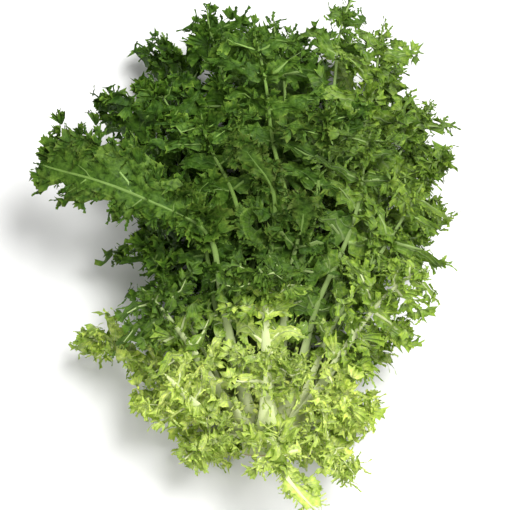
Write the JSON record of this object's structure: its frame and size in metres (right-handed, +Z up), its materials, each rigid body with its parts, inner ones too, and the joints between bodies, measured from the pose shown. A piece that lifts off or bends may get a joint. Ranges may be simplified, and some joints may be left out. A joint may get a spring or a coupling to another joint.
{
  "type": "curly endive head",
  "caption": "Head of curly endive lying on its side: a cut stem with rings of deeply cut, frilled leaves, pale at the base and green towards the tips.",
  "frame": {"origin": "on the surface the head lies on, under the middle of its bounding box", "axes": "+Y along the head from the cut stem to the leaf tips, +Z up from the surface, +X to the right seen from above with the stem towards the viewer"},
  "size_m": [0.2828, 0.3354, 0.1454],
  "materials": {
    "stem": "cut stem and crown, firm and pale, matt",
    "pale_leaf": "blanched leaf, yellow-green with whitish ribs, soft sheen",
    "fresh_leaf": "young leaf, fresh light green, soft sheen",
    "green_leaf": "leaf, mid green, soft sheen",
    "deep_leaf": "leaf, dark green, soft sheen"
  },
  "bodies": {
    "root": {"stem": "stem", "droop_leaf_1": "pale_leaf", "droop_leaf_2": "pale_leaf", "droop_leaf_3": "pale_leaf", "droop_leaf_4": "pale_leaf", "droop_leaf_5": "pale_leaf", "droop_leaf_6": "pale_leaf", "skirt_leaf_1": "pale_leaf", "skirt_leaf_2": "pale_leaf", "skirt_leaf_3": "pale_leaf", "skirt_leaf_4": "pale_leaf", "skirt_leaf_5": "pale_leaf", "skirt_leaf_6": "pale_leaf", "skirt_leaf_7": "pale_leaf", "low_leaf_1": "fresh_leaf", "low_leaf_2": "fresh_leaf", "low_leaf_3": "fresh_leaf", "low_leaf_4": "fresh_leaf", "low_leaf_5": "fresh_leaf", "low_leaf_6": "fresh_leaf", "low_leaf_7": "fresh_leaf", "low_leaf_8": "fresh_leaf", "outer_leaf_1": "green_leaf", "outer_leaf_2": "green_leaf", "outer_leaf_3": "green_leaf", "outer_leaf_4": "green_leaf", "outer_leaf_5": "green_leaf", "outer_leaf_6": "green_leaf", "outer_leaf_7": "green_leaf", "outer_leaf_8": "green_leaf", "full_leaf_1": "green_leaf", "full_leaf_2": "green_leaf", "full_leaf_3": "green_leaf", "full_leaf_4": "green_leaf", "full_leaf_5": "green_leaf", "full_leaf_6": "green_leaf", "full_leaf_7": "green_leaf", "full_leaf_8": "green_leaf", "upper_leaf_1": "deep_leaf", "upper_leaf_2": "deep_leaf", "upper_leaf_3": "deep_leaf", "upper_leaf_4": "deep_leaf", "upper_leaf_5": "deep_leaf", "upper_leaf_6": "deep_leaf", "upper_leaf_7": "deep_leaf", "tall_leaf_1": "deep_leaf", "tall_leaf_2": "deep_leaf", "tall_leaf_3": "deep_leaf", "tall_leaf_4": "deep_leaf", "tall_leaf_5": "deep_leaf", "tall_leaf_6": "deep_leaf", "inner_leaf_1": "deep_leaf", "inner_leaf_2": "deep_leaf", "inner_leaf_3": "deep_leaf", "inner_leaf_4": "deep_leaf", "inner_leaf_5": "deep_leaf", "heart_leaf_1": "green_leaf", "heart_leaf_2": "green_leaf", "heart_leaf_3": "green_leaf"}
  },
  "joints": []
}
